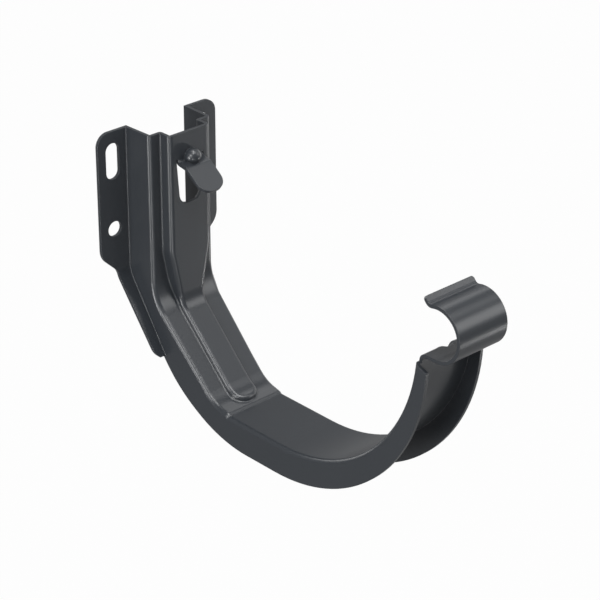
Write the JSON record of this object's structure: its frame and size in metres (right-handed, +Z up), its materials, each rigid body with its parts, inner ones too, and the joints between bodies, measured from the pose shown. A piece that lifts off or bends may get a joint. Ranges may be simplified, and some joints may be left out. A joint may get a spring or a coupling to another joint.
{
  "type": "gutter bracket",
  "caption": "Fascia bracket for a half-round gutter, folded from one steel sheet: slotted wall ears, a ribbed channel that cradles the gutter, a hold-down tongue and a bead hook.",
  "frame": {"origin": "on the wall face, half way between the centres of the two round fixing holes", "axes": "+X along the wall, -Y out from the wall towards the gutter's front, +Z up"},
  "size_m": [0.055, 0.1626, 0.109],
  "materials": {
    "painted_sheet": "satin anthracite powder coat on pressed steel sheet"
  },
  "bodies": {
    "root": {"gutter_bracket": "painted_sheet"}
  },
  "joints": []
}
